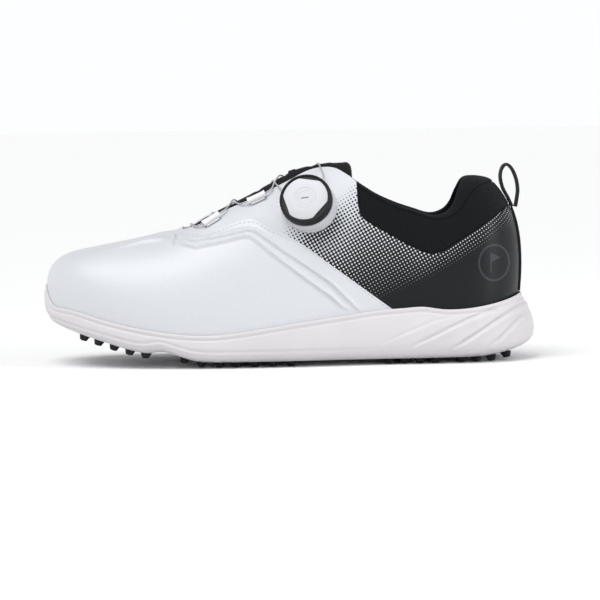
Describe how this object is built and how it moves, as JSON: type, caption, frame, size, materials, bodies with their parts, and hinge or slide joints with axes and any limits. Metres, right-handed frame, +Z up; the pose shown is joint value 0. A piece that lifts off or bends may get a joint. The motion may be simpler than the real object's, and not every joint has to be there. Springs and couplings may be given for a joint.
{
  "type": "golf shoe",
  "caption": "Low-cut left golf shoe with a cupped midsole, studded tread and a side reel whose knob lifts to release and turns to wind a thin lace over a padded tongue.",
  "frame": {"origin": "on the ground under the middle of the shoe", "axes": "+X from toe to heel, -Y towards the outer side of the foot, +Z up"},
  "size_m": [0.3, 0.1095, 0.1214],
  "materials": {
    "white_leather": "smooth coated synthetic leather with fine grain",
    "printed_leather": "coated leather, screen printed from white dots to black",
    "white_foam": "moulded foam, satin",
    "white_rubber": "moulded rubber, satin",
    "black_rubber": "matt rubber",
    "black_knit": "fine padded knit",
    "black_lining": "brushed textile lining",
    "black_webbing": "woven webbing",
    "grey_foam": "open cell foam",
    "board": "non-woven board",
    "stiffener": "thermoplastic stiffener",
    "black_plastic": "moulded nylon",
    "white_plastic": "moulded, semi-gloss",
    "steel": "plated steel",
    "brass_bush": "turned brass",
    "coated_wire": "stranded wire in a clear nylon coat"
  },
  "bodies": {
    "root": {"outsole": "white_rubber", "studs_forefoot": "black_rubber", "studs_heel": "black_rubber", "midsole": "white_foam", "shank": "black_plastic", "strobel_board": "board", "insole": "grey_foam", "insole_cover": "black_lining", "vamp": "white_leather", "vamp_backing": "grey_foam", "vamp_lining": "black_lining", "toe_puff": "stiffener", "quarter_lateral": "printed_leather", "quarter_medial": "printed_leather", "heel_counter": "stiffener", "collar_panel_lateral": "black_knit", "collar_panel_medial": "black_knit", "collar_foam": "grey_foam", "quarter_lining": "black_lining", "tongue_outer": "black_knit", "tongue_foam": "grey_foam", "tongue_lining": "black_lining", "tongue_lace_keeper": "black_webbing", "heel_strip": "black_webbing", "heel_loop": "black_webbing", "lace": "coated_wire", "lace_guide_lateral_1": "white_plastic", "lace_guide_lateral_2": "white_plastic", "lace_guide_medial_1": "white_plastic", "lace_guide_medial_2": "white_plastic", "lace_guide_medial_3": "white_plastic", "dial_base": "white_plastic", "dial_housing": "black_plastic", "dial_screw": "steel"},
    "detent": {"dial_detent_bushing": "brass_bush"},
    "knob": {"dial_knob_core": "black_plastic", "dial_grip": "black_rubber", "dial_cap": "white_plastic", "dial_pawl_disc": "black_plastic"},
    "spool": {"dial_spool": "black_plastic", "lace_on_spool": "coated_wire"}
  },
  "joints": [
    {"name": "dial_pull", "type": "slide", "parent": "root", "child": "detent", "axis": [-0.17, -0.8951, 0.4121], "range_m": [0, 0.002]},
    {"name": "dial_turn", "type": "hinge", "parent": "detent", "child": "knob", "pos_m": [0.0126, -0.03021, 0.0956], "axis": [-0.17, -0.8951, 0.4121], "continuous": true},
    {"name": "spool_turn", "type": "hinge", "parent": "root", "child": "spool", "pos_m": [0.0126, -0.03021, 0.0956], "axis": [-0.17, -0.8951, 0.4121], "continuous": true}
  ],
  "couplings": [
    {"joint": "spool_turn", "follows": "dial_turn", "ratio": 1}
  ]
}
